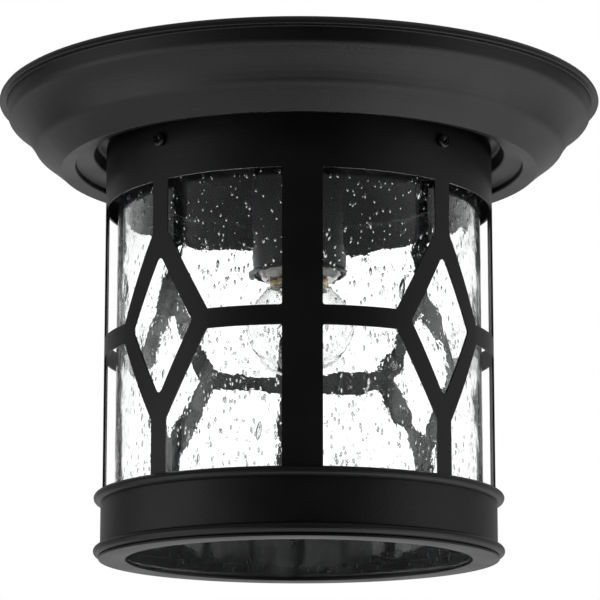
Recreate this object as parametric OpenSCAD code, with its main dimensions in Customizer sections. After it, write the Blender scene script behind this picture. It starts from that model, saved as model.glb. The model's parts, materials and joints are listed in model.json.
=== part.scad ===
// Porch ceiling lantern: spun canopy, lattice cage, glass cylinder and screw-in lamp.
// The origin is the middle of the ceiling plane, +Z points up and -Y is the front.

/* [Canopy] */
// Diameter over the canopy's rim
canopy_d = 304.8; // [290:0.1:330]
// Sheet thickness of the canopy
canopy_t = 1.2; // [0.8:0.1:1.6]
// Height of the band round the rim
rim_h = 4.45; // [3.5:0.05:5.5]
// Radius of the rounded edge where the rim meets the ceiling
rim_round = 4; // [3:0.1:4.4]
// Width of the flat flange that rests against the ceiling
flange_w = 1.5; // [1:0.1:6]
// Step inward under the rim band
rim_step = 3.6; // [2.5:0.1:4.5]
// Height of the upright wall under the rim band
wall_h = 7.8; // [6:0.1:9]
// Radius of the bend from the wall into the cove
wall_round = 3.85; // [2:0.05:4.5]
// Inward run of the cove
cove_run = 14.2; // [11:0.1:16]
// Drop of the cove
cove_drop = 15.7; // [12:0.1:18]
// Radius of the bend from the cove into the flank
cove_round = 7.3; // [4:0.1:8]
// Inward run of the flank under the cove
flank_run = 12.75; // [10:0.05:14]
// Drop of the flank
flank_drop = 10.25; // [8:0.05:12]
// Gap from the cage to the canopy's inner edge
recess_gap = 5.7; // [4:0.1:7]
// Width of the sloping ledge round the recess
ledge_w = 9.9; // [7:0.1:12]
// Rise of the sloping ledge
ledge_rise = 2.8; // [2:0.1:4]
// Rise of the lip from the flank's foot to its inner edge
lip_rise = 1.75; // [1:0.05:3]
// Height of the step between the lip and the ledge
lip_step = 3.1; // [2:0.1:4]
// Depth of the deck's top face below the ceiling
deck_depth = 21.7; // [19:0.1:23]

/* [Cage] */
// Outer diameter of the cage
cage_d = 195.5; // [185:0.1:205]
// Sheet thickness of the cage
cage_t = 1; // [0.8:0.1:1.5]
// Height of the whole lantern, from the ceiling to the foot
lantern_h = 235.9; // [225:0.1:260]
// Depth of the top band's lower edge below the ceiling
band_depth = 58.9; // [54:0.1:62]
// Width of the four upright posts
post_w = 19.4; // [12:0.1:24]
// Angle from the front and back posts to the diamonds' axes
diamond_angle = 44.4; // [43:0.1:47]
// Width of the stubs above and below each diamond
stub_w = 10; // [7:0.1:14]
// Height of the level bars
bar_h = 9.6; // [6:0.1:13]
// How far the level bars lie above the middle of the windows
bar_raise = 0.3; // [-2:0.1:2]
// Width of the diamond's strips
strip_w = 9.5; // [7:0.1:13]
// Half the height of the diamond's opening
diamond_h = 35.4; // [29:0.1:39]
// Half the width of the diamond's opening
diamond_w = 20.5; // [16:0.1:23]
// Radius of the diamonds' corners
diamond_r = 2.4; // [0.5:0.1:4]
// Radius of the windows' corners
window_r = 1; // [0.5:0.1:2]

/* [Foot] */
// Height of the foot ring
ring_h = 31.6; // [26:0.1:38]
// Height of each bead on the foot ring
bead_h = 5.2; // [4:0.1:7]
// How far the beads stand proud of the ring's band
bead_proud = 3.5; // [2:0.1:4.5]
// Thickness of the foot ring's band
ring_t = 0.8; // [0.6:0.1:1.5]
// How far the seat ring's lip lies below the foot ring
lip_drop = 1.4; // [0.5:0.1:2.5]
// Height of the seat ring's outer flange
seat_flange = 8; // [6:0.1:10]
// Height of the seat ring's inner lip
seat_lip = 4; // [3:0.1:6]
// Sheet thickness of the seat ring
seat_t = 1.2; // [0.8:0.1:1.6]

/* [Glass] */
// Gap between the cage and the glass
glass_gap = 4.95; // [3.5:0.05:7]
// Wall of the glass cylinder
glass_t = 3; // [2:0.1:4]
// Depth of the glass's top edge below the ceiling
glass_depth = 45.6; // [44:0.1:49]
// Thickness of the pad under the glass
pad_t = 1; // [0.5:0.1:2]

/* [Lampholder] */
// Outer diameter of the cup round the lampholder
cup_d = 46.4; // [45:0.1:50]
// Height of the cup
cup_h = 67.4; // [62:0.1:72]
// Sheet thickness of the cup
cup_t = 0.8; // [0.6:0.1:1.2]
// Diameter of the porcelain body
body_d = 42.8; // [41:0.1:44]
// Height of the porcelain body
body_h = 35.9; // [34:0.1:38]
// How far the porcelain stands out of the cup
nose_out = 2.3; // [0.5:0.1:4]
// Outer diameter of the threaded tube
nipple_d = 9.8; // [9.5:0.1:10.5]

/* [Lamp] */
// Largest diameter of the lamp's glass
globe_d = 54; // [50:0.1:60]
// Drop from the lamp's base to its widest level
globe_drop = 22.8; // [20:0.1:28]
// Height of the rounded end below the widest level
globe_end = 25.5; // [22:0.1:29]
// Radius of the shoulder where the lamp's glass leaves its base
shoulder_r = 17.3; // [15:0.1:19]
// Wall of the globe
globe_t = 0.8; // [0.6:0.1:1]
// Outer diameter of the lamp's screw thread
thread_d = 26.1; // [25.9:0.05:26.3]
// Depth of the screw thread
thread_depth = 0.75; // [0.6:0.05:0.8]
// Pitch of the screw thread, seven turns to the inch
thread_pitch = 3.629; // [3.6:0.001:3.66]
// Radial gap between the lamp's thread and the socket's
thread_gap = 0.36; // [0.3:0.02:0.4]

/* [Fixings] */
// Hole-to-hole distance of the ceiling box's screws
box_spacing = 88.9; // [86:0.1:90]
// Length of the crossbar
crossbar_l = 108; // [104:1:130]
// Width of the crossbar
crossbar_w = 25.4; // [20:0.1:30]
// Distance between the two canopy screws
canopy_screw_spacing = 62; // [60:0.5:64]

/* [Hidden] */
$fn = 96;
fit = 0.05;
seat_gap = 0.3;

// Levels, from the ceiling down
rim_z = -rim_h;
wall_z = rim_z - wall_h;
cove_z = wall_z - cove_drop;
flank_z = cove_z - flank_drop;
deck_z = -deck_depth;
holder_t = 1.2;
holder_top = deck_z - canopy_t;
plate_z = holder_top - holder_t;
band_z = -band_depth;
foot_z = -lantern_h;
seat_z = foot_z + seat_t;
ring_z = foot_z + lip_drop;
ring_top = ring_z + ring_h;
mid_z = (band_z + ring_top) / 2 + bar_raise;
glass_z = seat_z + pad_t;
glass_top = -glass_depth;
cage_top = holder_top - 4;
skirt_z = glass_top - 1.3;
screw_z = (cage_top + band_z) / 2 + 4;

// Radii
rim_r = canopy_d / 2;
wall_r = rim_r - rim_step;
wall_taper = 1;
flange_in = rim_r - rim_round - flange_w;
cove_r = wall_r - wall_taper;
flank_r = cove_r - cove_run;
lip_r = flank_r - flank_run;
cage_r = cage_d / 2;
cage_in = cage_r - cage_t;
recess_r = cage_r + recess_gap;
step_r = recess_r + ledge_w;
skirt_r = cage_in - 2 * fit;
glass_r = cage_r - cage_t - glass_gap;
glass_in = glass_r - glass_t;
ring_in = cage_r + fit;
band_r = ring_in + ring_t;
seat_r = cage_r - 0.3;
seat_wall = cage_in - fit;
opening_r = glass_in - 2.7;

// Screws: nominal diameter, head diameter and head height
side_screw = [3.5, 7, 2.4];
hang_screw = [4.2, 8, 2.4];
small_screw = [3, 5.4, 1.8];
nut_af = 8.7;
nut_h = 3;
nipple_nut_af = 14;

// Heights in the stack that hangs the lampholder
nut_top_h = 3;
washer_h = 0.8;
nipple_bore = 7.2;
nipple_out = 7.8;
nipple_top = deck_z + nipple_out;
cup_top = plate_z;
cup_z = cup_top - cup_h;
nose_z = cup_z - nose_out;
body_top = nose_z + body_h;
strap_h = 7;
strap_t = 1.5;
strap_z = body_top + strap_h;
nipple_z = strap_z - 1;

// Lamp and socket, from the nose up
bore_depth = 27.1;
socket_floor = nose_z + bore_depth;
contact_t = 1.2;
lamp_top = socket_floor - contact_t - seat_gap;
base_h = 26;
base_z = lamp_top - base_h;
button_h = 1.5;
insulator_h = 4;
shell_top = lamp_top - button_h - insulator_h - seat_gap;
globe_r = globe_d / 2;
globe_z = base_z - globe_drop;
thread_r = thread_d / 2;
thread_base = base_z + 1.8;
thread_full = base_z + 4;
thread_sides = 28;
thread_rings = 6;
socket_r = thread_r + thread_gap + 0.6;
socket_lip = 0.5;
socket_z = nose_z + 0.3;

// Ceiling bar: its middle lies lower than its ends
bar_t = 2;
bar_offset = 4;
bar_mid = canopy_screw_spacing / 2 + 4.5;
bar_joggle = 2.5;

// Leads and their block
lead_r = 1.2;
lead_x = 1.6;
pole_x = 5;
block = [22, 18, 11];
block_y = 32;
pole_z = deck_z + 6;

black = [0.06, 0.06, 0.065];
steel = [0.72, 0.73, 0.75];
brass = [0.80, 0.62, 0.32];
clear = [0.85, 0.90, 0.92, 0.35];

// ---- Outlines ----

function unit(v) = v / norm(v);
function left(v) = [-v.y, v.x];
function turn(a, b, c) = cross(b - a, c - b);
function reversed(p) = [for (i = [len(p) - 1:-1:0]) p[i]];

// Points of the arc that rounds corner b of the path a-b-c
function corner(a, b, c, r, n = 4) =
    let (
        u = unit(a - b),
        v = unit(c - b),
        half = acos(max(-1, min(1, u * v))) / 2,
        centre = b + unit(u + v) * r / sin(half),
        from = b + u * r / tan(half) - centre,
        to = b + v * r / tan(half) - centre,
        start = atan2(from.y, from.x),
        sweep = atan2(cross(from, to), from * to)
    )
    [for (i = [0:n]) centre + r * [cos(start + sweep * i / n), sin(start + sweep * i / n)]];

// An open path with its inner corners rounded
function rounded_path(p, radii) = [
    for (i = [0:len(p) - 1])
        each (i == 0 || i == len(p) - 1 || radii[i] == 0)
            ? [p[i]]
            : corner(p[i - 1], p[i], p[i + 1], radii[i])
];

// A closed outline with every corner rounded
function rounded_loop(p, r) = [
    for (i = [0:len(p) - 1])
        each corner(p[(i + len(p) - 1) % len(p)], p[i], p[(i + 1) % len(p)], r, 3)
];

// The path moved t to its right
function offset_path(p, t) = [
    for (i = [0:len(p) - 1])
        let (
            before = unit(p[max(i, 1)] - p[max(i, 1) - 1]),
            after = unit(p[min(i, len(p) - 2) + 1] - p[min(i, len(p) - 2)]),
            bisector = unit(left(before) + left(after))
        )
        p[i] - bisector * t / (bisector * left(after))
];

// Largest radius that fits between the neighbours of point i
function room(p, i) =
    let (a = p[i - 1] - p[i], b = p[i + 1] - p[i], half = acos(max(-1, min(1, unit(a) * unit(b)))) / 2)
    min(norm(a), norm(b)) * tan(half);

// Radii on the far side of a bent sheet: smaller inside a bend, larger outside it
function far_radii(p, far, radii, t) = [
    for (i = [0:len(p) - 1])
        radii[i] == 0 || i == 0 || i == len(p) - 1 ? 0 :
        turn(p[i - 1], p[i], p[i + 1]) > 0 ? radii[i] + t :
        max(min(radii[i] - t, 0.85 * room(far, i)), 0.2)
];

// Outline of a sheet of thickness t on the right of a path
function sheet(p, radii, t) =
    let (far = offset_path(p, t))
    concat(rounded_path(p, radii), reversed(rounded_path(far, far_radii(p, far, radii, t))));

// Inner points of an arc from a to b that turns left by twice the given angle
function bow(a, b, angle, n) =
    let (d = unit(b - a), r = norm(b - a) / 2 / sin(angle), centre = (a + b) / 2 + left(d) * r * cos(angle))
    [for (i = [1:n - 1]) let (s = angle * (2 * i / n - 1)) centre + r * (d * sin(s) - left(d) * cos(s))];

function zeros(n) = [for (i = [1:n]) 0];

module spun(outline) {
    rotate_extrude() polygon(outline);
}

module disc(r, z0, z1) {
    translate([0, 0, z0]) cylinder(r = r, h = z1 - z0);
}

module tube(outer, inner, z0, z1) {
    difference() {
        disc(outer, z0, z1);
        disc(inner, z0 - 1, z1 + 1);
    }
}

// ---- Fasteners, drawn with the head's underside at z = 0 ----

module pan_screw(size, length) {
    r = size[1] / 2;
    h = size[2];
    crown = [for (i = [0:6]) [r * cos(90 * i / 6), h * (0.45 + 0.55 * sin(90 * i / 6))]];
    difference() {
        union() {
            rotate_extrude($fn = 48) polygon(concat([[0, 0], [r, 0]], crown));
            translate([0, 0, -length]) cylinder(d = size[0], h = length + h / 4, $fn = 48);
        }
        for (a = [0, 90])
            rotate([0, 0, a]) translate([0, 0, h]) cube([r * 1.15, r * 0.24, h * 1.1], center = true);
    }
}

module hex_nut(af, bore, h) {
    difference() {
        cylinder(d = af / cos(30), h = h, $fn = 6);
        translate([0, 0, -1]) cylinder(d = bore, h = h + 2, $fn = 48);
    }
}

module cap_nut(af, bore, hex_h, dome_r) {
    difference() {
        union() {
            cylinder(d = af / cos(30), h = hex_h, $fn = 6);
            translate([0, 0, hex_h]) intersection() {
                sphere(r = dome_r, $fn = 48);
                translate([0, 0, dome_r]) cube(2 * dome_r, center = true);
            }
        }
        translate([0, 0, -1]) cylinder(d = bore, h = hex_h + 3, $fn = 48);
    }
}

module at_canopy_screws() {
    for (side = [-1, 1]) translate([side * canopy_screw_spacing / 2, 0, 0]) children();
}

// The diamonds lie in mirrored pairs beside the front and the back post
module at_diamonds() {
    for (half = [0, 180], side = [0, 1])
        rotate([0, 0, half]) mirror([side, 0, 0]) rotate([0, 0, diamond_angle]) children();
}

// ---- Canopy and what hangs from it ----

step_z = flank_z + lip_rise;
ledge_z = step_z + lip_step;
canopy_corners = [
    [flange_in, 0], [rim_r, 0], [rim_r, rim_z], [wall_r, rim_z], [cove_r, wall_z], [flank_r, cove_z],
    [lip_r, flank_z], [step_r, step_z], [step_r, ledge_z], [recess_r, ledge_z + ledge_rise],
    [recess_r, holder_top], [0, holder_top]
];
cove = bow(canopy_corners[4], canopy_corners[5], 16.3, 7);
flank = bow(canopy_corners[5], canopy_corners[6], 4, 4);
function part_of(p, first, last) = [for (i = [first:last]) p[i]];
canopy_path = concat(
    part_of(canopy_corners, 0, 4), cove, [canopy_corners[5]], flank, part_of(canopy_corners, 6, 11)
);
canopy_radii = concat(
    [0, rim_round, 0.8, 0.6, wall_round], zeros(len(cove)), [cove_round], zeros(len(flank)),
    [0.8, 1, 0.8, 2, 2, 0]
);

module canopy() {
    color(black) difference() {
        spun(sheet(canopy_path, canopy_radii, canopy_t));
        disc(nipple_d / 2 + 0.2, holder_top - 1, deck_z + 1);
        at_canopy_screws() disc(hang_screw[0] / 2 + 0.3, holder_top - 1, deck_z + 1);
        translate([0, block_y + block.y / 2, 0]) disc(small_screw[0] / 2 + fit, holder_top - 1, deck_z + 1);
    }
}

module rim_gasket() {
    color([0.15, 0.15, 0.15]) tube(flange_in - fit, flange_in - fit - 3, -3, 0);
}

module cage_holder() {
    plate_path = [[0, plate_z], [skirt_r - holder_t, plate_z], [skirt_r - holder_t, skirt_z]];
    color(black) difference() {
        spun(sheet(reversed(plate_path), [0, 1, 0], holder_t));
        disc(nipple_d / 2 + 0.2, plate_z - 1, holder_top + 1);
        at_canopy_screws() disc(hang_screw[0] / 2 + 0.3, plate_z - 1, holder_top + 1);
        translate([0, block_y + block.y / 2, 0]) disc(small_screw[0] / 2 + 0.8, plate_z - 1, holder_top + 1);
        at_diamonds() translate([0, -cage_in, screw_z]) rotate([90, 0, 0])
            cylinder(d = side_screw[0] + 2 * fit, h = 8, center = true, $fn = 48);
    }
}

module bar_outline() {
    half = crossbar_l / 2;
    top = [
        [-half, 0], [-bar_mid - bar_joggle, 0], [-bar_mid, -bar_offset],
        [bar_mid, -bar_offset], [bar_mid + bar_joggle, 0], [half, 0]
    ];
    polygon(sheet(top, zeros(6), bar_t));
}

module crossbar() {
    color(steel) difference() {
        rotate([90, 0, 0]) linear_extrude(crossbar_w, center = true) bar_outline();
        disc(5.3, -bar_offset - bar_t - 1, 1);
        at_canopy_screws() disc(hang_screw[0] / 2 + fit, -bar_offset - bar_t - 1, 1);
        translate([-15, 0, 0]) disc(2.4 + fit, -bar_offset - bar_t - 1, 1);
        for (side = [-1, 1], end = [-1, 1])
            translate([side * box_spacing / 2 + end * 2.6, 0, 0]) disc(2.4, -bar_t - 1, 1);
        for (side = [-1, 1])
            translate([side * box_spacing / 2, 0, -bar_t / 2]) cube([5.2, 4.8, bar_t + 2], center = true);
    }
}

module canopy_screws() {
    color(steel) at_canopy_screws() translate([0, 0, -bar_offset])
        pan_screw(hang_screw, -plate_z - bar_offset + 4.5);
}

module crossbar_nuts() {
    color(steel) at_canopy_screws() translate([0, 0, -bar_offset - bar_t - nut_h])
        hex_nut(nut_af, hang_screw[0] + 2 * fit, nut_h);
}

module cap_nuts() {
    color(black) at_canopy_screws() translate([0, 0, plate_z]) mirror([0, 0, 1])
        cap_nut(nut_af, hang_screw[0] + 2 * fit, 3.6, 4);
}

module ground_screw() {
    color([0.15, 0.5, 0.25]) translate([-15, 0, -bar_offset]) difference() {
        union() {
            cylinder(d = 8.6, h = 2.6, $fn = 6);
            translate([0, 0, -8]) cylinder(d = 4.8, h = 9);
        }
        translate([0, 0, 2.6]) cube([10, 1.1, 1.8], center = true);
    }
}

module nipple() {
    color(steel) tube(nipple_d / 2, nipple_bore / 2, nipple_z, nipple_top);
}

module nipple_nuts() {
    bore = nipple_d + 2 * fit;
    color(steel) {
        translate([0, 0, deck_z + washer_h]) hex_nut(nipple_nut_af, bore, nut_top_h);
        translate([0, 0, cup_top - cup_t - nut_top_h]) hex_nut(nipple_nut_af, bore, nut_top_h);
        translate([0, 0, strap_z + strap_t]) hex_nut(nipple_nut_af, bore, nut_top_h);
    }
}

module nipple_washer() {
    color(steel) tube(8, nipple_d / 2 + 0.1, deck_z, deck_z + washer_h);
}

module wire_bushing() {
    flange_h = 1;
    color([0.9, 0.9, 0.88]) difference() {
        union() {
            disc(5.6, nipple_top, nipple_top + flange_h);
            disc(nipple_bore / 2 - fit, nipple_top - 4, nipple_top + flange_h);
        }
        disc(nipple_bore / 2 - 0.6, nipple_top - 5, nipple_top + flange_h + 1);
    }
}

module socket_cup() {
    r = cup_d / 2;
    path = [[r + 0.7, cup_z], [r + 0.7, cup_z + 1.4], [r, cup_z + 2.4], [r, cup_top], [0, cup_top]];
    color(black) difference() {
        spun(sheet(reversed(path), [0, 5, 1, 0.6, 0], cup_t));
        disc(nipple_d / 2 + 0.2, cup_top - cup_t - 1, cup_top + 1);
    }
}

module lampholder_body() {
    r = body_d / 2;
    bore_r = socket_r + fit;
    outline = [
        [bore_r + socket_lip + 0.3, nose_z], [16.8, nose_z], [19.8, nose_z + 1.5], [r, nose_z + 3.6],
        [r, body_top - 8], [r - 2.5, body_top - 4], [r - 2.5, body_top], [0, body_top],
        [0, socket_floor], [bore_r, socket_floor], [bore_r, socket_z + 1.25],
        [bore_r + socket_lip, socket_z + 1.25], [bore_r + socket_lip, socket_z]
    ];
    color([0.93, 0.92, 0.88]) difference() {
        spun(outline);
        for (side = [-1, 1])
            translate([side * 14, 0, 0]) disc(small_screw[0] / 2 + fit, body_top - 4.5, body_top + 1);
    }
}

module lampholder_bracket() {
    foot = [[18, body_top + strap_t], [10.5, body_top + strap_t], [10.5, strap_z + strap_t]];
    strap = concat(foot, [for (i = [2:-1:0]) [-foot[i].x, foot[i].y]]);
    color(steel) difference() {
        rotate([90, 0, 0]) linear_extrude(12, center = true)
            polygon(sheet(reversed(strap), [0, 0.5, 1.8, 1.8, 0.5, 0], strap_t));
        disc(nipple_d / 2 + fit, strap_z - 1, strap_z + strap_t + 1);
        for (side = [-1, 1])
            translate([side * 14, 0, 0]) disc(small_screw[0] / 2 + 0.2, body_top - 1, body_top + strap_t + 1);
    }
}

module bracket_screws() {
    color(steel) for (side = [-1, 1])
        translate([side * 14, 0, body_top + strap_t]) pan_screw(small_screw, 5.5);
}

// ---- Screw thread: both shells follow the same helix ----

// Crest height from 0 to 1 at angle a and level z, plain below the thread
function crest(a, z) =
    let (plain = max(0, min(1, (thread_full - z) / (thread_full - thread_base))))
    plain + (1 - plain) * (0.5 + 0.5 * cos(360 * (z - base_z) / thread_pitch - a));

// The lamp's thread also runs out at the top, so that it enters easily
function lamp_crest(a, z) = crest(a, z) * max(0, min(1, (shell_top - 2.2 - z) / 1.6));

function ring_at(r, z) = [
    for (i = [0:thread_sides - 1])
        let (a = 360 * i / thread_sides) [r(a, z) * cos(a), r(a, z) * sin(a), z]
];

function levels(z0, z1) =
    let (n = round((z1 - z0) / thread_pitch * thread_rings)) [for (i = [0:n]) z0 + (z1 - z0) * i / n];

// A solid between an outer and an inner stack of rings, each listed from below
module shell_of(outer, inner) {
    n = thread_sides;
    first = len(outer) * n;
    last_outer = (len(outer) - 1) * n;
    last_inner = first + (len(inner) - 1) * n;
    function quad(a, b, c, d) = [[a, b, c], [a, c, d]];
    faces = [
        for (i = [0:n - 1])
            let (j = (i + 1) % n)
            each concat(
                [for (k = [0:len(outer) - 2])
                    let (low = k * n, high = low + n)
                    each quad(low + i, high + i, high + j, low + j)],
                [for (k = [0:len(inner) - 2])
                    let (low = first + k * n, high = low + n)
                    each quad(low + i, low + j, high + j, high + i)],
                quad(i, j, first + j, first + i),
                quad(last_outer + i, last_inner + i, last_inner + j, last_outer + j)
            )
    ];
    polyhedron([each each outer, each each inner], faces);
}

module socket_shell() {
    wall = function (a, z) thread_r + thread_gap - thread_depth * (1 - crest(a, z));
    mouth = thread_r + thread_gap;
    lip = socket_r + socket_lip;
    outer = [
        ring_at(function (a, z) lip, socket_z), ring_at(function (a, z) lip, socket_z + 1),
        ring_at(function (a, z) socket_r, socket_z + 1.2), ring_at(function (a, z) socket_r, socket_floor)
    ];
    inner = concat(
        [ring_at(function (a, z) mouth + socket_lip, socket_z)],
        [for (z = levels(socket_z + 0.8, shell_top + 1.5)) ring_at(wall, z)],
        [ring_at(function (a, z) mouth, socket_floor)]
    );
    color(brass) shell_of(outer, inner);
}

module centre_contact() {
    color(brass) disc(4, socket_floor - contact_t, socket_floor);
}

module bulb_shell() {
    wall = function (a, z) thread_r - thread_depth * (1 - lamp_crest(a, z));
    outer = concat(
        [for (z = levels(base_z, shell_top - 0.6)) ring_at(wall, z)],
        [ring_at(function (a, z) thread_r - thread_depth - 0.8, shell_top)]
    );
    inner = [
        ring_at(function (a, z) thread_r - thread_depth - 0.4, base_z),
        ring_at(function (a, z) thread_r - thread_depth - 0.4, shell_top - 1.2),
        ring_at(function (a, z) thread_r - thread_depth - 1.4, shell_top)
    ];
    color(brass) shell_of(outer, inner);
}

// ---- Lamp ----

neck_r = thread_r - thread_depth - 0.6;
shoulder_z = base_z - 1.6;
globe_outline = concat(
    [for (i = [0:9]) let (a = -90 + 10 * i) [globe_r * cos(a), globe_z + globe_end * sin(a)]],
    [for (i = [1:8]) let (t = i / 8)
        [shoulder_r + (globe_r - shoulder_r) * cos(90 * t), globe_z + (shoulder_z - globe_z) * t]],
    [
        [shoulder_r - 0.7, base_z - 0.9], [shoulder_r - 2.1, base_z - 0.5], [thread_r + 0.3, base_z - 0.4],
        [neck_r, base_z - 0.3], [neck_r, base_z + 9]
    ]
);

module bulb_globe() {
    inside = offset_path(reversed(globe_outline), globe_t);
    color(clear) spun(concat(
        globe_outline, [[inside[0].x, inside[0].y]],
        [for (i = [1:len(inside) - 2]) inside[i]], [[0, globe_z - globe_end + globe_t]]
    ));
}

module bulb_stem() {
    foot = base_z + 7;
    press = base_z - 6;
    outline = [
        [0, press - 9], [1.4, press - 8.6], [1.4, press], [2.8, press], [2.8, press + 3],
        [2.2, foot - 4], [4, foot - 1], [neck_r - globe_t - 0.1, foot + 1], [0, foot + 1]
    ];
    color(clear) spun(outline);
}

// A round wire along a path of points
module wire(path, r, sides = 8, side_axis = [1, 0, 0]) {
    last = len(path) - 1;
    rings = [
        for (i = [0:last])
            let (
                t = unit(path[min(i + 1, last)] - path[max(i - 1, 0)]),
                u = unit(cross(t, side_axis)),
                v = cross(u, t)
            )
            [for (k = [0:sides - 1]) path[i] + r * (u * cos(360 * k / sides) + v * sin(360 * k / sides))]
    ];
    faces = concat(
        [[for (k = [0:sides - 1]) k]],
        [for (i = [0:last - 1], k = [0:sides - 1]) let (m = (k + 1) % sides)
            let (low = i * sides, high = low + sides)
            each [[low + k, high + k, high + m], [low + k, high + m, low + m]]],
        [[for (k = [sides - 1:-1:0]) last * sides + k]]
    );
    polyhedron([each each rings], faces);
}

filament_w = 11;
filament_z = base_z - 24;
press_z = base_z - 6;

module bulb_lead_wires() {
    color(steel) for (side = [-1, 1])
        wire([
            [side * 2.1, 0, press_z], [side * 2.1, 0, press_z - 4], [side * 4, 0, press_z - 10],
            [side * filament_w * 0.8, 0, filament_z + 3], [side * filament_w, 0, filament_z]
        ], 0.35, 6, [0, 1, 0]);
}

module bulb_filament() {
    points = 12;
    path = [
        for (i = [0:points])
            [filament_w * (2 * i / points - 1), 0, filament_z - 0.4 + (i % 2 == 0 || i == points ? 0 : -5)]
    ];
    color([0.4, 0.4, 0.42]) wire(path, 0.3, 6, [0, 1, 0]);
}

module bulb_insulator() {
    z = shell_top + seat_gap;
    color([0.08, 0.08, 0.09]) spun([
        [0, z], [thread_r - thread_depth - 2, z], [thread_r - thread_depth - 3, z + 1.2],
        [4.9, z + insulator_h], [0, z + insulator_h]
    ]);
}

module bulb_contact() {
    z = lamp_top - button_h;
    color(steel) spun([
        [0, z], [4.6, z], [4.6, z + 0.6], [3.4, lamp_top - 0.3], [1.6, lamp_top], [0, lamp_top]
    ]);
}

// ---- Wiring ----

function arc_yz(y, z, r, a0, a1, n) =
    [for (i = [0:n]) let (a = a0 + (a1 - a0) * i / n) [y + r * cos(a), z + r * sin(a)]];

module lead(side) {
    start_y = side * -9;
    low = body_top + 4;
    lift = nipple_top + 1;
    below = concat(
        [[9, body_top]],
        arc_yz(6.5, low - 2.5, 2.5, 0, 90, 4),
        arc_yz(2.5, low + 2.5, 2.5, 270, 180, 4)
    );
    above = concat(arc_yz(4, lift, 4, 180, 90, 4), [[12, lift + 3.6], [19, lift + 1]], [
        [25, pole_z + 1.4], [28.5, pole_z + 0.2], [block_y, pole_z], [block_y + 5, pole_z]
    ]);
    spread = function (y) y < 12 ? 0 : min(1, (y - 12) / 14);
    wire(concat(
        [for (p = below) [side * lead_x, -side * p.x, p.y]],
        [for (p = above) [side * (lead_x + (pole_x - lead_x) * spread(p.x)), p.x, p.y]]
    ), lead_r);
}

module live_lead() {
    color([0.1, 0.1, 0.1]) lead(1);
}

module neutral_lead() {
    color([0.92, 0.92, 0.9]) lead(-1);
}

module terminal_block() {
    color([0.88, 0.88, 0.84]) difference() {
        translate([-block.x / 2, block_y, deck_z]) cube(block);
        for (side = [-1, 1]) translate([side * pole_x, 0, 0]) {
            translate([0, block_y - 1, pole_z]) rotate([-90, 0, 0])
                cylinder(r = lead_r + 0.3, h = 7.5, $fn = 32);
            translate([0, block_y + block.y - 6.5, pole_z]) rotate([-90, 0, 0])
                cylinder(r = lead_r + 0.3, h = 7.5, $fn = 32);
            for (y = [3.6, block.y - 3.6])
                translate([0, block_y + y, pole_z]) cylinder(r = 1.9, h = block.z, $fn = 32);
        }
        translate([0, block_y + block.y / 2, deck_z - 1])
            cylinder(d = small_screw[0] + 0.4, h = block.z + 2, $fn = 32);
        translate([0, block_y + block.y / 2, deck_z + block.z - 3])
            cylinder(d = small_screw[1] + 0.6, h = 4, $fn = 32);
    }
}

module terminal_screws() {
    color(steel) {
        for (side = [-1, 1], y = [3.6, block.y - 3.6])
            translate([side * pole_x, block_y + y, pole_z + lead_r + 0.1]) difference() {
                cylinder(r = 1.85, h = 3, $fn = 32);
                translate([0, 0, 3]) cube([5, 0.6, 1.6], center = true);
            }
        translate([0, block_y + block.y / 2, deck_z + block.z - 3])
            pan_screw(small_screw, block.z - 3 + canopy_t + 0.6);
    }
}

// ---- Cage ----

// Windows are laid out flat round each diamond: arc length across, height up
slope = diamond_h / diamond_w;
outer_h = diamond_h + strip_w / cos(atan(slope));
stub = stub_w / 2;
bar = bar_h / 2;
near_post = cage_r * diamond_angle * PI / 180 - post_w / 2;
far_post = cage_r * (90 - diamond_angle) * PI / 180 - post_w / 2;

function large_window(edge, post) = [
    [stub, edge], [stub, outer_h - slope * stub], [(outer_h - bar) / slope, bar], [post, bar], [post, edge]
];
function lowered(p) = [for (v = reversed(p)) [v.x, -v.y]];
function mirrored(p) = [for (v = reversed(p)) [-v.x, v.y]];
diamond_window = [[diamond_w, 0], [0, diamond_h], [-diamond_w, 0], [0, -diamond_h]];

function degrees_of(arc) = arc / cage_r * 180 / PI;

// Cuts a window whose middle is at arc length `middle` from the diamond's axis
module window_cut(outline, middle, r = window_r) {
    flat = [for (p = outline) [cage_r * sin(degrees_of(p.x) - degrees_of(middle)), p.y]];
    rotate([0, 0, degrees_of(middle)]) translate([0, 0, mid_z]) rotate([90, 0, 0])
        translate([0, 0, cage_r / 2]) linear_extrude(cage_r / 2 + 5) polygon(rounded_loop(flat, r));
}

module cage() {
    top = band_z - mid_z;
    foot = mid_z - ring_top + 4;
    color(black) difference() {
        tube(cage_r, cage_in, seat_z, cage_top);
        at_diamonds() {
            window_cut(diamond_window, 0, diamond_r);
            window_cut(large_window(top, far_post), (stub + far_post) / 2);
            window_cut(lowered(large_window(foot, far_post)), (stub + far_post) / 2);
            window_cut(mirrored(large_window(top, near_post)), -(stub + near_post) / 2);
            window_cut(mirrored(lowered(large_window(foot, near_post))), -(stub + near_post) / 2);
            translate([0, -cage_r, screw_z]) rotate([90, 0, 0])
                cylinder(d = side_screw[0] + 0.6, h = 8, center = true, $fn = 48);
        }
    }
}

module cage_screws() {
    color(black) at_diamonds() translate([0, -cage_r, screw_z]) rotate([90, 0, 0])
        pan_screw(side_screw, cage_t + holder_t + 2.4);
}

// ---- Glass and foot ----

module glass_cylinder() {
    color(clear) tube(glass_r, glass_in, glass_z, glass_top);
}

module glass_gasket() {
    color([0.2, 0.2, 0.2]) tube(glass_r + 0.6, glass_in - 0.6, seat_z, glass_z);
}

// Half-round bead from z0 up, proud of the band
function bead(z0) = [
    for (i = [0:10]) let (a = -90 + 18 * i) [band_r + bead_proud * cos(a), z0 + bead_h / 2 * (1 + sin(a))]
];

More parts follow.
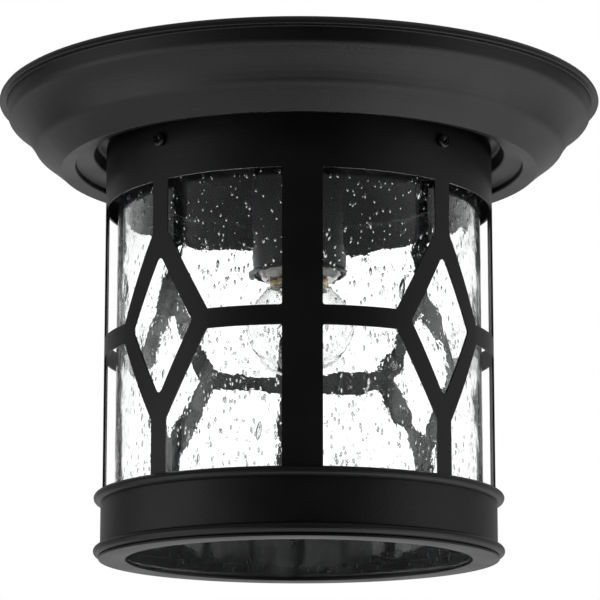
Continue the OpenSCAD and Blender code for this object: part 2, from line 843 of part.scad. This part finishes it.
module base_ring() {
    color(black) spun(concat(
        [[ring_in, ring_z]], bead(ring_z), bead(ring_top - bead_h), [[ring_in, ring_top]]
    ));
}

module seat_ring() {
    color(black) spun([
        [opening_r, foot_z], [seat_r, foot_z], [seat_r, seat_z], [seat_wall, seat_z],
        [seat_wall, seat_z + seat_flange], [seat_wall - seat_t, seat_z + seat_flange],
        [seat_wall - seat_t, seat_z], [opening_r + seat_t, seat_z],
        [opening_r + seat_t, seat_z + seat_lip], [opening_r, seat_z + seat_lip]
    ]);
}

canopy();
rim_gasket();
cage_holder();
crossbar();
canopy_screws();
crossbar_nuts();
cap_nuts();
ground_screw();
nipple();
nipple_nuts();
nipple_washer();
wire_bushing();
socket_cup();
lampholder_body();
lampholder_bracket();
bracket_screws();
socket_shell();
centre_contact();
terminal_block();
terminal_screws();
live_lead();
neutral_lead();
cage();
cage_screws();
glass_cylinder();
glass_gasket();
base_ring();
seat_ring();
bulb_globe();
bulb_stem();
bulb_lead_wires();
bulb_filament();
bulb_shell();
bulb_insulator();
bulb_contact();
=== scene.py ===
"""Looks of the porch ceiling lantern: powder coat, seeded glass, porcelain and a clear lamp.

Lengths are in metres in the frame's own axes: the origin is on the ceiling plane, +Z points up.
"""

import json
import math
import random

import bpy
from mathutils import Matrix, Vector


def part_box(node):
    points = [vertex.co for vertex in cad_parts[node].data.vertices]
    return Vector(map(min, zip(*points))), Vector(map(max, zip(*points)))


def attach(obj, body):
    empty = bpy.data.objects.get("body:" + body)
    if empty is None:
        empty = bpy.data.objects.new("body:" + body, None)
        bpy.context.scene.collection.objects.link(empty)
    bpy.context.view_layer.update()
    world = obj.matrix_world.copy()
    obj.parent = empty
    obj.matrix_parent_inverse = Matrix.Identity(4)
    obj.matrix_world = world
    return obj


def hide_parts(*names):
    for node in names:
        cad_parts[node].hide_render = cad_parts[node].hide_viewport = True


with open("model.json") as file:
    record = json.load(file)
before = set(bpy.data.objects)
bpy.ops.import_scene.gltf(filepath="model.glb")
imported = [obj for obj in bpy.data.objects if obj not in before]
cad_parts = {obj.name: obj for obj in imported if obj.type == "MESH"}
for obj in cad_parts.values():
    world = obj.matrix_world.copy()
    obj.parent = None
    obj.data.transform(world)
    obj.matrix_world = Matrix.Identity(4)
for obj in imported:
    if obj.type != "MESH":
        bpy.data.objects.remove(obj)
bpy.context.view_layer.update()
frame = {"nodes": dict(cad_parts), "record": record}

MM = 0.001
FULL_TURN = 2 * math.pi
UP = Vector((0, 0, 1))


# ---- Shader helpers ----


class Shader:
    """A small wrapper that adds nodes to a material's or the world's tree."""

    def __init__(self, owner):
        owner.use_nodes = True
        self.tree = owner.node_tree
        self.tree.nodes.clear()

    def add(self, kind, inputs=None, **settings):
        node = self.tree.nodes.new(kind)
        for key, value in settings.items():
            setattr(node, key, value)
        for key, value in (inputs or {}).items():
            self.set(node.inputs[key], value)
        return node

    def set(self, socket, value):
        if isinstance(value, bpy.types.NodeSocket):
            self.tree.links.new(value, socket)
        elif isinstance(value, bpy.types.Node):
            self.tree.links.new(value.outputs[0], socket)
        else:
            socket.default_value = value

    def math(self, operation, a, b=0.0):
        return self.add("ShaderNodeMath", {0: a, 1: b}, operation=operation)

    def noise(self, scale, detail, roughness):
        """Noise over the object's own coordinates, from 0 to 1."""
        here = self.add("ShaderNodeTexCoord").outputs["Object"]
        inputs = {"Scale": scale, "Detail": detail, "Roughness": roughness, "Vector": here}
        return self.add("ShaderNodeTexNoise", inputs).outputs["Fac"]

    def remap(self, value, low, high, to_low, to_high, smooth=False):
        inputs = {"Value": value, "From Min": low, "From Max": high}
        node = self.add("ShaderNodeMapRange", {**inputs, "To Min": to_low, "To Max": to_high})
        if smooth:
            node.interpolation_type = "SMOOTHSTEP"
        return node

    def mix(self, factor, a, b):
        """A colour between two colours."""
        node = self.add("ShaderNodeMix", data_type="RGBA")
        for socket, value in ((0, factor), (6, a), (7, b)):
            self.set(node.inputs[socket], value)
        return node.outputs[2]

    def blend(self, factor, a, b):
        """A shader between two shaders."""
        return self.add("ShaderNodeMixShader", {0: factor, 1: a, 2: b})

    def bump(self, height, distance):
        return self.add("ShaderNodeBump", {"Height": height, "Distance": distance})

    def finish(self, shader, kind="ShaderNodeOutputMaterial"):
        out = self.add(kind)
        self.tree.links.new(shader.outputs[0], out.inputs["Surface"])


def grey(value):
    return (value, value, value, 1.0)


def new_material(name):
    mat = bpy.data.materials.new(name)
    return mat, Shader(mat)


# ---- Materials ----


def coat(name, colour, roughness, grain=1100.0, grain_depth=0.0001):
    """Paint or powder coat: fine orange peel and slow changes of tone and gloss."""
    mat, s = new_material(name)
    peel = s.noise(grain, 2.0, 0.55)
    slow = s.noise(38.0, 3.0, 0.5)
    tone = s.add("ShaderNodeVectorMath", {0: colour}, operation="SCALE")
    s.set(tone.inputs["Scale"], s.remap(slow, 0.3, 0.7, 0.65, 1.35))
    surface = {
        "Base Color": tone,
        "Roughness": s.math("ADD", s.remap(slow, 0.3, 0.7, -0.03, 0.05), roughness),
        "Normal": s.bump(peel, grain_depth),
        "IOR": 1.5,
    }
    s.finish(s.add("ShaderNodeBsdfPrincipled", surface))
    return mat


def metal(name, colour, roughness, scratch=0.00001, tarnish=0.30):
    """Bare or plated metal with fine handling marks and slow tone changes."""
    mat, s = new_material(name)
    slow = s.noise(120.0, 3.0, 0.55)
    fine = s.noise(2600.0, 2.0, 0.6)
    dark = tuple(c * (1.0 - tarnish) for c in colour)
    surface = {
        "Base Color": s.mix(s.remap(slow, 0.35, 0.75, 0.0, 1.0), (*colour, 1.0), (*dark, 1.0)),
        "Metallic": 1.0,
        "Roughness": s.math("ADD", s.remap(slow, 0.3, 0.7, -0.05, 0.08), roughness),
        "Normal": s.bump(fine, scratch),
    }
    s.finish(s.add("ShaderNodeBsdfPrincipled", surface))
    return mat


def plain(name, colour, roughness, mottle=0.12, glaze=0.0, grain=700.0, grain_depth=0.00001):
    """Ceramic, moulded plastic or foam."""
    mat, s = new_material(name)
    slow = s.noise(90.0, 3.0, 0.5)
    fine = s.noise(grain, 2.0, 0.5)
    dark = tuple(c * (1.0 - mottle) for c in colour)
    surface = {
        "Base Color": s.mix(s.remap(slow, 0.3, 0.7, 0.0, 1.0), (*colour, 1.0), (*dark, 1.0)),
        "Roughness": roughness,
        "Coat Weight": glaze,
        "Coat Roughness": 0.05,
        "Normal": s.bump(fine, grain_depth),
    }
    s.finish(s.add("ShaderNodeBsdfPrincipled", surface))
    return mat


def glass(name, tint, ripple_scale=0.0, ripple_depth=0.0, haze=0.0):
    """Clear glass, with small surface ripples and a thin uneven haze where asked."""
    mat, s = new_material(name)
    inputs = {"Base Color": (*tint, 1.0), "Roughness": 0.0, "IOR": 1.5, "Transmission Weight": 1.0}
    if ripple_scale:
        inputs["Normal"] = s.bump(s.noise(ripple_scale, 2.0, 0.5), ripple_depth)
    surface = s.add("ShaderNodeBsdfPrincipled", inputs)
    if haze:
        share = s.remap(s.noise(70.0, 4.0, 0.6), 0.35, 0.70, 0.3 * haze, 1.9 * haze)
        veil = s.add("ShaderNodeBsdfDiffuse", {"Color": (0.86, 0.90, 1.0, 1.0)})
        surface = s.blend(share, surface, veil)
    s.finish(surface)
    return mat


MATERIALS = {
    "black_powder_coat": coat("black_powder_coat", (0.0026, 0.0026, 0.0030), 0.40),
    "black_fastener": coat("black_fastener", (0.006, 0.006, 0.006), 0.17, 1500.0, 0.000006),
    "green_fastener": coat("green_fastener", (0.010, 0.110, 0.030), 0.32, 1500.0, 0.000008),
    "zinc_plated_steel": metal("zinc_plated_steel", (0.58, 0.60, 0.63), 0.30),
    "brass": metal("brass", (0.50, 0.38, 0.20), 0.30),
    "solder": metal("solder", (0.45, 0.45, 0.44), 0.42, 0.00004, 0.5),
    "wire_steel": metal("wire_steel", (0.42, 0.42, 0.41), 0.32),
    "tungsten": metal("tungsten", (0.14, 0.14, 0.15), 0.40),
    "seeded_glass": glass("seeded_glass", (0.985, 0.995, 0.992), 230.0, 0.00004, 0.012),
    "lamp_glass": glass("lamp_glass", (0.995, 0.998, 0.998)),
    "black_glass": plain("black_glass", (0.012, 0.012, 0.014), 0.12, 0.2, 0.5),
    "white_porcelain": plain("white_porcelain", (0.76, 0.74, 0.68), 0.22, 0.1, 0.6),
    "white_nylon": plain("white_nylon", (0.74, 0.74, 0.68), 0.42),
    "black_insulation": plain("black_insulation", (0.012, 0.012, 0.012), 0.38),
    "white_insulation": plain("white_insulation", (0.78, 0.78, 0.74), 0.38),
    "black_foam": plain("black_foam", (0.02, 0.02, 0.02), 0.85, 0.4, 0.0, 1800.0, 0.0001),
}

# The CAD pieces keep their shape and get their finish
for part in frame["record"]["subparts"]:
    for material_slot in frame["nodes"][part["node"]].material_slots:
        material_slot.material = MATERIALS[part["material_slot"]]


# ---- Making pieces ----


def link_object(name, data):
    made = bpy.data.objects.new(name, data)
    bpy.context.collection.objects.link(made)
    return made


def make_piece(name, shape, slot, body, node=None, smooth_angle=None):
    """A piece that rides on a body, in place of a CAD node where one is named."""
    verts, faces = shape
    mesh = bpy.data.meshes.new(name)
    mesh.from_pydata(verts, [], faces)
    mesh.shade_smooth()
    if smooth_angle is not None:
        mesh.set_sharp_from_angle(angle=math.radians(smooth_angle))
    mesh.materials.append(MATERIALS[slot])
    piece = link_object(name, mesh)
    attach(piece, body)
    if node:
        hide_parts(node)


def circle(radius, height, segments):
    turns = (FULL_TURN * k / segments for k in range(segments))
    return [(radius * math.cos(a), radius * math.sin(a), height) for a in turns]


def turned(x, y, angle):
    """A point turned round the origin."""
    return x * math.cos(angle) - y * math.sin(angle), x * math.sin(angle) + y * math.cos(angle)


def lathe_faces(rows, segments):
    """The faces of a closed profile of so many points, turned round the Z axis."""
    faces = []
    for k in range(segments):
        here, there = k * rows, (k + 1) % segments * rows
        for i in range(rows):
            j = (i + 1) % rows
            faces.append((here + i, there + i, there + j, here + j))
    return faces


def lathe(profile, segments):
    """Turns a closed profile of (radius, z) points round the Z axis."""
    verts = []
    for k in range(segments):
        angle = FULL_TURN * k / segments
        verts += [(r * math.cos(angle), r * math.sin(angle), z) for r, z in profile]
    return verts, lathe_faces(len(profile), segments)


def rounded(profile, radius, steps=3):
    """The closed profile with its corners rounded."""
    points = []
    for i, corner in enumerate(profile):
        here = Vector(corner)
        before = (Vector(profile[i - 1]) - here).normalized()
        after = (Vector(profile[(i + 1) % len(profile)]) - here).normalized()
        half = before.angle(after) / 2
        centre = here + (before + after).normalized() * radius / math.sin(half)
        start = here + before * radius / math.tan(half) - centre
        end = here + after * radius / math.tan(half) - centre
        sweep = math.atan2(start.x * end.y - start.y * end.x, start.dot(end))
        for k in range(steps + 1):
            x, y = turned(start.x, start.y, sweep * k / steps)
            points.append((centre.x + x, centre.y + y))
    return points


# ---- Seeded glass ----

random.seed(7)
(_, _, glass_low), (glass_radius, _, glass_high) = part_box("glass_cylinder")
WALL = 3.0 * MM
# The outer face lies a little inside the solid's, which leaves room for its waves
OUTER_FACE = glass_radius - 0.15 * MM
INNER_FACE = glass_radius - WALL
EDGE_ROUND = 0.8 * MM
WAVES = 18
SHORTEST_WAVE = 8 * MM
LONGEST_WAVE = 45 * MM
WAVE_SLOPE = 0.0036
SEEDS = 3600
# Share of seeds up to and with each kind, their widths in mm, and their lengths in widths
SEED_KINDS = (
    (0.30, (0.40, 0.65), (1.0, 1.8)),
    (0.96, (0.90, 1.30), (1.8, 2.7)),
    (1.00, (1.20, 1.80), (2.0, 3.2)),
)
# Depth of a seed in the wall, in its widths, and the glass that it keeps on either side
SEED_DEPTH = 0.6
SEED_COVER = 0.3 * MM
SEED_LEAN = 7
# Azimuth from the front in degrees, height, width and length in mm, and lean in degrees
LONG_BUBBLES = ((-13, -185, 2.8, 9.5, 8), (32, -114, 3.4, 11, 9), (39, -64, 3.6, 9.5, 8))


def wave_table():
    """Plane waves over the unrolled wall: turns, frequency along Z, phase and amplitude."""
    waves = []
    for _ in range(WAVES):
        length = SHORTEST_WAVE * (LONGEST_WAVE / SHORTEST_WAVE) ** random.random()
        heading = random.uniform(0.0, math.pi)
        turns = round(FULL_TURN * glass_radius * math.cos(heading) / length)
        rise = math.sin(heading) / length * FULL_TURN
        amplitude = WAVE_SLOPE * length / FULL_TURN
        waves.append((turns, rise, random.uniform(0.0, FULL_TURN), amplitude))
    return waves


def height_of(waves, angle, z):
    return sum(a * math.sin(turns * angle + rise * z + phase) for turns, rise, phase, a in waves)


def wall_profile(rows, edge_steps=4):
    """The wall's outline as (radius, z, face), with 0 for its outer face and 1 for its inner."""
    span = glass_high - glass_low - 2 * EDGE_ROUND
    levels = [glass_low + EDGE_ROUND + span * i / rows for i in range(1, rows)]
    edge = [math.radians(90 * i / edge_steps) for i in range(edge_steps + 1)]
    profile = []
    for face, radius, out, start, end, heights in (
        (0, OUTER_FACE, 1, glass_low, glass_high, levels),
        (1, INNER_FACE, -1, glass_high, glass_low, levels[::-1]),
    ):
        arc = EDGE_ROUND * out
        corner = radius - arc
        for a in edge:
            profile.append((corner + arc * math.sin(a), start + arc * (1 - math.cos(a)), face))
        profile += [(radius, z, face) for z in heights]
        for a in reversed(edge):
            profile.append((corner + arc * math.sin(a), end - arc * (1 - math.cos(a)), face))
    return profile


def glass_wall(segments=420, rows=130):
    """The tube, with rounded edges and slow waves on both faces."""
    waves = (wave_table(), wave_table())
    profile = wall_profile(rows)
    verts = []
    for k in range(segments):
        angle = FULL_TURN * k / segments
        for r, z, face in profile:
            r += height_of(waves[face], angle, z)
            verts.append((r * math.cos(angle), r * math.sin(angle), z))
    return verts, lathe_faces(len(profile), segments)


def seed_shape(length, width, taper, sides=8, rings=7):
    """A teardrop bubble along +Z; its faces look inward because it holds air."""
    verts = [(0.0, 0.0, -length / 2)]
    for i in range(1, rings):
        t = i / rings
        radius = width / 2 * math.sin(math.pi * t**taper) ** 0.65
        verts += circle(radius, length * (t - 0.5), sides)
    verts.append((0.0, 0.0, length / 2))
    top = len(verts) - 1
    faces = []
    for k in range(sides):
        m = (k + 1) % sides
        faces.append((0, 1 + k, 1 + m))
        for i in range(rings - 2):
            low, high = 1 + i * sides, 1 + (i + 1) * sides
            faces.append((low + k, high + k, high + m, low + m))
        faces.append((top, top - sides + m, top - sides + k))
    return verts, faces


def add_seed(wall, seed, angle, z, lean, depth, flip=1):
    """One bubble in the wall. The wall's axes mirror it, so its faces are turned over."""
    verts, faces = wall
    across = Vector((-math.sin(angle), math.cos(angle), 0))
    out = Vector((math.cos(angle), math.sin(angle), 0))
    centre = out * (OUTER_FACE - depth) + UP * z
    first = len(verts)
    for x, y, h in seed[0]:
        side, up = turned(x, h * flip, -lean)
        verts.append(tuple(centre + across * side + out * y * SEED_DEPTH + UP * up))
    for face in seed[1]:
        face = tuple(reversed(face)) if flip > 0 else face
        faces.append(tuple(first + i for i in face))


def add_seeds(wall):
    for _ in range(SEEDS):
        kind = random.random()
        widths, ratios = next(row[1:] for row in SEED_KINDS if kind < row[0])
        width = random.uniform(*widths) * MM
        length = width * random.uniform(*ratios)
        lean = math.radians(random.gauss(0, SEED_LEAN))
        angle = random.uniform(0, FULL_TURN)
        cover = width / 2 + SEED_COVER
        depth = random.uniform(cover, WALL - cover)
        z = random.uniform(glass_low + length, glass_high - length)
        seed = seed_shape(length, width, random.uniform(0.85, 1.35))
        add_seed(wall, seed, angle, z, lean, depth, random.choice((1, -1)))
    for azimuth, z, width, length, lean in LONG_BUBBLES:
        seed = seed_shape(length * MM, width * MM, 1.0, 20, 20)
        add_seed(wall, seed, math.radians(azimuth - 90), z * MM, math.radians(lean), WALL / 2)


def seeded_glass():
    wall = glass_wall()
    add_seeds(wall)
    make_piece("glass_with_seeds", wall, "seeded_glass", "fixture", "glass_cylinder")


seeded_glass()


# ---- Lamp glass and its brass rim ----

(_, _, globe_low), (globe_radius, _, globe_high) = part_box("bulb_globe")
NECK = 9.0 * MM
NECK_RADIUS = 11.7 * MM
SHOULDER_RADIUS = 17.0 * MM
SHOULDER_DROP = 4.4 * MM
LOWER_HALF = 25.5 * MM
LAMP_WALL = 0.5 * MM
# Radius of the small opening that stands for the closed lower end
LAMP_TIP = 0.05 * MM
RIM_RADIUS = 14.9 * MM
RIM_NECK_RADIUS = 13.3 * MM
RIM_DROP = 3.7 * MM
RIM_SHEET = 0.35 * MM
RIM_STEP = 0.15 * MM
base_level = globe_high - NECK


def lamp_outline(steps=36, shoulder_steps=6):
    """Half outline of the lamp's glass from its lowest point up to the end of its neck."""
    widest = globe_low + LOWER_HALF
    shoulder = base_level - SHOULDER_DROP
    mouth = RIM_RADIUS - RIM_SHEET - 0.4 * MM
    points = []
    for i in range(1, steps + 1):
        a = math.radians(90 * i / steps)
        points.append((globe_radius * math.sin(a), widest - LOWER_HALF * math.cos(a)))
    for i in range(1, steps + 1):
        t = i / steps
        r = SHOULDER_RADIUS + (globe_radius - SHOULDER_RADIUS) * math.cos(math.pi / 2 * t)
        points.append((r, widest + (shoulder - widest) * t))
    for i in range(1, shoulder_steps + 1):
        a = math.radians(90 * i / shoulder_steps)
        r = mouth + (SHOULDER_RADIUS - mouth) * math.cos(a)
        points.append((r, shoulder + (SHOULDER_DROP - RIM_DROP + 0.2 * MM) * math.sin(a)))
    points.append((NECK_RADIUS + 0.8 * MM, base_level - 1.5 * MM))
    points.append((NECK_RADIUS, base_level))
    points.append((NECK_RADIUS, globe_high))
    return points


def lamp_glass():
    outer = lamp_outline()
    inner = []
    for i, (r, z) in enumerate(outer):
        r0, z0 = outer[max(i - 1, 0)]
        r1, z1 = outer[min(i + 1, len(outer) - 1)]
        share = LAMP_WALL / math.hypot(r1 - r0, z1 - z0)
        inner.append((r - (z1 - z0) * share, z + (r1 - r0) * share))
    profile = [(LAMP_TIP, globe_low), *outer, *inner[::-1], (LAMP_TIP, globe_low + LAMP_WALL)]
    make_piece("lamp_glass", lathe(profile, 144), "lamp_glass", "lamp", "bulb_globe")


def lamp_rim():
    """The flared brass rim where the lamp's base meets its glass."""
    top, low = base_level - 0.1 * MM, base_level - RIM_DROP
    upper, inner = RIM_RADIUS - RIM_STEP, RIM_RADIUS - RIM_SHEET
    profile = [
        (RIM_NECK_RADIUS, top - 0.4 * MM), (inner, top - 0.6 * MM), (inner, low),
        (RIM_RADIUS, low), (RIM_RADIUS, top - 1.9 * MM), (upper, top - 1.5 * MM),
        (upper, top - 0.5 * MM), (RIM_RADIUS - 0.7 * MM, top), (RIM_NECK_RADIUS, top + 0.05 * MM),
    ]
    make_piece("lamp_rim", lathe(rounded(profile, 0.08 * MM), 96), "brass", "lamp")


lamp_glass()
lamp_rim()


# ---- Seat ring: its turned-in lip and its outer edge under the foot ring's bead ----

(_, _, foot), (seat_outer, _, seat_high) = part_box("seat_ring")
SEAT_SHEET = 1.2 * MM
SEAT_EDGE = 99.4 * MM
SEAT_LIP = 1.7 * MM
SEAT_LIP_SHEET = 0.9 * MM
SEAT_OPENING = INNER_FACE - 2.7 * MM
# The upright flange runs up inside the foot ring
FLANGE_INSIDE = seat_outer - SEAT_SHEET - 0.9 * MM


def seat_ring():
    sheet_top, lip_top = foot + SEAT_SHEET, foot + SEAT_LIP
    lip_outside, flange_outside = SEAT_OPENING + SEAT_LIP_SHEET, FLANGE_INSIDE + SEAT_SHEET
    profile = [
        (SEAT_OPENING, foot), (SEAT_EDGE, foot), (SEAT_EDGE, sheet_top),
        (flange_outside, sheet_top), (flange_outside, seat_high), (FLANGE_INSIDE, seat_high),
        (FLANGE_INSIDE, sheet_top), (lip_outside, sheet_top), (lip_outside, lip_top),
        (SEAT_OPENING, lip_top),
    ]
    shape = lathe(rounded(profile, 0.2 * MM), 180)
    make_piece("seat_ring_visible", shape, "black_powder_coat", "fixture", "seat_ring", 35)


seat_ring()


# ---- Cage screws: pan heads with a cross recess ----

(_, _, screw_low), (_, _, screw_high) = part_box("cage_screws")
_, (cage_radius, _, _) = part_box("cage")
HEAD_RADIUS = (screw_high - screw_low) / 2
HEAD_HEIGHT = 2.4 * MM
HEAD_CROWN = 0.25 * MM
HEAD_CORNER = 0.75 * MM
HEAD_SIDE = 1.4 * MM
ARM_LENGTH = 2.1 * MM
ARM_HALF_WIDTH = 0.55 * MM
ARM_FLARE = 0.25 * MM
RECESS_DEPTH = 1.5 * MM
RECESS_RISE = 0.9 * MM
RECESS_WALL = 0.22 * MM
SHANK_RADIUS = 1.75 * MM
SHANK_LENGTH = 4.6 * MM
SCREW_AZIMUTH = 44.4
SCREW_AZIMUTHS = (-SCREW_AZIMUTH, SCREW_AZIMUTH, 180 - SCREW_AZIMUTH, 180 + SCREW_AZIMUTH)
# How far the first recess is turned, and each next one more, in degrees
FIRST_TURN = 20
NEXT_TURN = 31


def head_height(x, y):
    """Height of the head's face above the sheet, with the recess pressed into it."""
    r = math.hypot(x, y)
    face = HEAD_HEIGHT - HEAD_CROWN * (r / HEAD_RADIUS) ** 2
    edge = HEAD_RADIUS - r
    if edge < HEAD_CORNER:
        drop = max(HEAD_CORNER**2 - (HEAD_CORNER - edge) ** 2, 0.0)
        face -= HEAD_CORNER - math.sqrt(drop)
    along, beside = max(abs(x), abs(y)), min(abs(x), abs(y))
    arm = min(along / ARM_LENGTH, 1.0)
    inside = min(ARM_HALF_WIDTH + ARM_FLARE * (1 - arm) - beside, ARM_LENGTH - along)
    wall = min(max(inside / RECESS_WALL, 0.0), 1.0)
    return face - wall * (RECESS_DEPTH - RECESS_RISE * arm)


def screw_shape(rings=34, segments=120):
    """One screw along +Z, its head's seat at zero."""
    verts = []
    for i in range(1, rings):
        ring = circle(HEAD_RADIUS * math.sin(math.pi / 2 * i / rings), 0.0, segments)
        verts += [(x, y, head_height(x, y)) for x, y, _ in ring]
    verts += circle(HEAD_RADIUS, HEAD_SIDE, segments)
    verts += circle(HEAD_RADIUS, 0.0, segments)
    verts += circle(SHANK_RADIUS, 0.0, segments)
    verts += circle(SHANK_RADIUS, -SHANK_LENGTH, segments)
    middle, end = len(verts), len(verts) + 1
    verts += [(0.0, 0.0, head_height(0.0, 0.0)), (0.0, 0.0, -SHANK_LENGTH)]
    last = (rings + 2) * segments
    faces = []
    for k in range(segments):
        m = (k + 1) % segments
        faces.append((middle, k, m))
        for low in range(0, last, segments):
            high = low + segments
            faces.append((low + m, low + k, high + k, high + m))
        faces.append((end, last + m, last + k))
    return verts, faces


def cage_screws():
    screw = screw_shape()
    level = (screw_low + screw_high) / 2
    verts, faces = [], []
    for number, azimuth in enumerate(SCREW_AZIMUTHS):
        a = math.radians(azimuth)
        out = Vector((math.sin(a), -math.cos(a), 0))
        across = Vector((math.cos(a), math.sin(a), 0))
        turn = math.radians(FIRST_TURN + NEXT_TURN * number)
        first = len(verts)
        for x, y, h in screw[0]:
            side, up = turned(x, y, turn)
            verts.append(tuple(out * (cage_radius + h) + across * side + UP * (level + up)))
        faces += [tuple(first + i for i in face) for face in screw[1]]
    shape = (verts, faces)
    make_piece("cage_screw_heads", shape, "black_fastener", "fixture", "cage_screws", 50)


cage_screws()


# ---- Camera ----

DISTANCE = 1.5198
CAMERA_Z = -0.41773
PITCH = math.radians(11.672)
AZIMUTH = math.radians(-0.95)
TURN = math.radians(-0.019)

camera = bpy.data.cameras.new("camera")
camera.lens = 184.6
camera.sensor_width = 36.0
camera_object = link_object("camera", camera)
camera_object.location = (DISTANCE * math.sin(AZIMUTH), -DISTANCE * math.cos(AZIMUTH), CAMERA_Z)
camera_object.rotation_euler = (math.pi / 2 + PITCH, 0.0, AZIMUTH + TURN)
bpy.context.scene.camera = camera_object
bpy.context.scene.view_settings.view_transform = "Standard"


# ---- Floor, world and lamps ----

FLOOR_HALF = 8.0
FLOOR_Z = -3.4
# Soft panels of light: azimuth from the front towards the right, elevation, spread and strength
PANELS = (
    (180, 0, 75, 0.40),
    (-80, 40, 60, 0.15),
    (85, 40, 65, 0.25),
    (-60, -40, 60, 0.60),
    (75, -40, 55, 1.10),
    (0, -90, 50, 0.40),
    (180, -40, 55, 0.30),
    (120, -35, 50, 0.20),
    (0, 90, 60, 0.15),
    (0, 40, 45, 0.10),
)
# Light that the glass shows: above 1 behind the lantern, because each wall takes some away
SEEN_BEHIND = 1.45
SEEN_BESIDE = 0.60
SEEN_IN_FRONT = 0.25
# The two area lamps: side length, place of the right one, the point that they face, and watts
LAMP_SIDE = 1.6
LAMP_PLACE = Vector((1.5, -0.3, -0.55))
LAMP_AIM = Vector((0, 0, -0.10))
LEFT_POWER = 5.0
RIGHT_POWER = 1.5


def floor_material():
    """Pale floor that reflections look through, so that they show the panels below it."""
    mat, s = new_material("floor")
    path = s.add("ShaderNodeLightPath").outputs
    shown = s.math("MAXIMUM", path["Is Camera Ray"], path["Is Transmission Ray"])
    pale = s.add("ShaderNodeBsdfDiffuse", {"Color": grey(0.86)})
    bright = s.add("ShaderNodeEmission", {"Color": grey(0.95)})
    clear = s.add("ShaderNodeBsdfTransparent")
    seen = s.blend(s.math("MULTIPLY", shown, 0.85), pale, bright)
    s.finish(s.blend(path["Is Glossy Ray"], seen, clear))
    return mat


def build_floor():
    sides = ((-1, -1), (1, -1), (1, 1), (-1, 1))
    corners = [(x * FLOOR_HALF, y * FLOOR_HALF, FLOOR_Z) for x, y in sides]
    mesh = bpy.data.meshes.new("floor")
    mesh.from_pydata(corners, [], [(0, 1, 2, 3)])
    mesh.materials.append(floor_material())
    link_object("floor", mesh)


def panel_light(s, direction):
    """The panels' light from a direction, which fades from each one's middle to its spread."""
    total = 0.0
    for azimuth, elevation, spread, strength in PANELS:
        a, e = math.radians(azimuth), math.radians(elevation)
        towards = (math.sin(a) * math.cos(e), -math.cos(a) * math.cos(e), math.sin(e))
        dot = s.add("ShaderNodeVectorMath", {0: direction, 1: towards}, operation="DOT_PRODUCT")
        edge = math.cos(math.radians(spread))
        share = s.remap(dot.outputs["Value"], edge, 1.0, 0.0, strength, smooth=True)
        total = s.math("ADD", share, total)
    return total


def build_world():
    """Soft panels round the lantern, and white behind whatever the camera and the glass show."""
    world = bpy.data.worlds.new("studio")
    bpy.context.scene.world = world
    s = Shader(world)
    direction = s.add("ShaderNodeTexCoord").outputs["Generated"]
    back = s.add("ShaderNodeSeparateXYZ", {0: direction}).outputs["Y"]
    beside = s.remap(back, -0.60, 0.0, SEEN_IN_FRONT, SEEN_BESIDE, smooth=True)
    behind = s.remap(back, 0.20, 0.75, 0.0, SEEN_BEHIND - SEEN_BESIDE, smooth=True)
    path = s.add("ShaderNodeLightPath").outputs
    in_glass = s.math("MAXIMUM", path["Is Transmission Ray"], path["Transmission Depth"])
    in_glass = s.math("MINIMUM", in_glass, 1.0)
    strengths = (panel_light(s, direction), s.math("ADD", beside, behind), 1.0)
    lit, beyond, white = (
        s.add("ShaderNodeBackground", {"Color": grey(1.0), "Strength": strength})
        for strength in strengths
    )
    full = s.blend(path["Is Camera Ray"], s.blend(in_glass, lit, beyond), white)
    s.finish(full, "ShaderNodeOutputWorld")


def area_lamp(name, side, power):
    """A square lamp that faces the lantern, on its left with side -1 and on its right with 1."""
    lamp = bpy.data.lights.new(name, "AREA")
    lamp.shape = "RECTANGLE"
    lamp.size = lamp.size_y = LAMP_SIDE
    lamp.energy = power
    place = Vector((side * LAMP_PLACE.x, LAMP_PLACE.y, LAMP_PLACE.z))
    lamp_object = link_object(name, lamp)
    lamp_object.location = place
    lamp_object.rotation_euler = (place - LAMP_AIM).to_track_quat("Z", "Y").to_euler()


build_floor()
build_world()
area_lamp("left_box", -1, LEFT_POWER)
area_lamp("right_box", 1, RIGHT_POWER)
